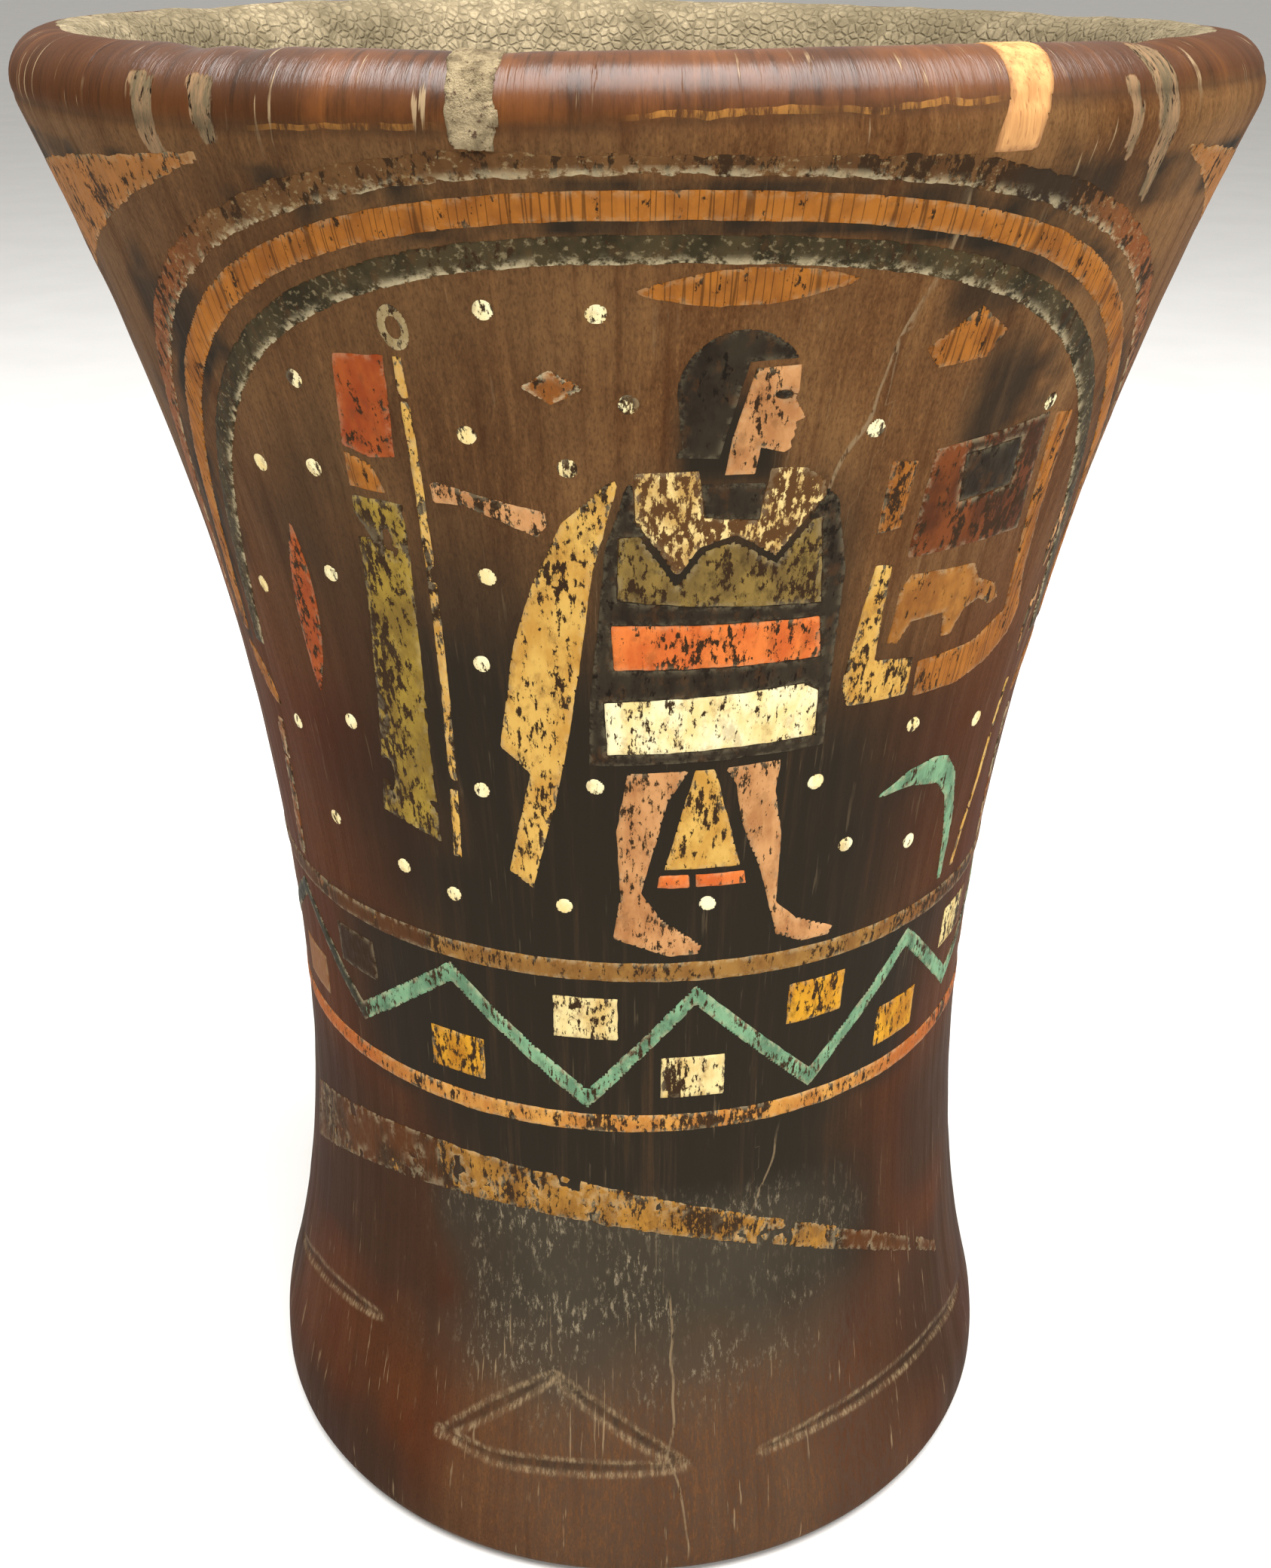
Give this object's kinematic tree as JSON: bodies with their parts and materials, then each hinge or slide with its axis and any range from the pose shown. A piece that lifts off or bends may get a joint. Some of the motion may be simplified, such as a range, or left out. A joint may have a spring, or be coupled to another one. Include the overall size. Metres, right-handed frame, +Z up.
{
  "type": "flared wooden drinking cup",
  "caption": "Tall waisted drinking cup of dark wood with a flared mouth and rounded lip, inlaid with coloured resin figures, an arch and a zigzag band.",
  "frame": {"origin": "middle of the flat base, on the surface that the cup stands on", "axes": "+Z up along the cup's axis to the mouth; -Y is the front with the pictured panel; +X is to the right as seen from the front"},
  "size_m": [0.1459, 0.146, 0.2],
  "materials": {
    "dark_wood": "satin",
    "inner_crust": "matte",
    "pale_wood": "satin",
    "grey_filler": "matte",
    "orange_resin": "satin",
    "red_resin": "satin",
    "ochre_resin": "satin",
    "worn_ochre_resin": "matte",
    "cream_resin": "satin",
    "olive_resin": "satin",
    "turquoise_resin": "satin",
    "flesh_resin": "satin",
    "dark_green_resin": "satin",
    "black_resin": "satin"
  },
  "bodies": {
    "root": {"cup_body": "dark_wood", "inner_coating": "inner_crust", "wood_repair": "pale_wood", "filler_repair": "grey_filler", "arch_ochre_band": "worn_ochre_resin", "arch_orange_band": "orange_resin", "arch_green_band": "dark_green_resin", "arch_leg_leaves": "orange_resin", "arch_leg_strips": "worn_ochre_resin", "spandrels": "orange_resin", "plume": "orange_resin", "hair": "black_resin", "face": "flesh_resin", "eye": "black_resin", "collar": "cream_resin", "tunic": "black_resin", "tunic_olive_band": "olive_resin", "tunic_red_band": "red_resin", "tunic_cream_band": "cream_resin", "left_leg": "flesh_resin", "right_leg": "flesh_resin", "tassel": "ochre_resin", "tassel_hem": "red_resin", "cape": "ochre_resin", "arm": "flesh_resin", "staff": "ochre_resin", "staff_ring": "cream_resin", "banner_red": "red_resin", "banner_orange": "orange_resin", "banner_olive": "olive_resin", "shield_bar": "orange_resin", "shield_corner": "ochre_resin", "shield_tab": "orange_resin", "shield_frame": "orange_resin", "shield_square": "dark_green_resin", "animal": "ochre_resin", "sickle": "turquoise_resin", "stalk": "ochre_resin", "red_leaf": "red_resin", "feather_lozenge": "orange_resin", "orange_leaf": "orange_resin", "side_petals": "flesh_resin", "dots": "cream_resin", "ground_line": "ochre_resin", "zigzag": "turquoise_resin", "cream_tiles": "cream_resin", "ochre_tiles": "ochre_resin", "lower_band": "orange_resin", "foot_stripe": "worn_ochre_resin"}
  },
  "joints": []
}
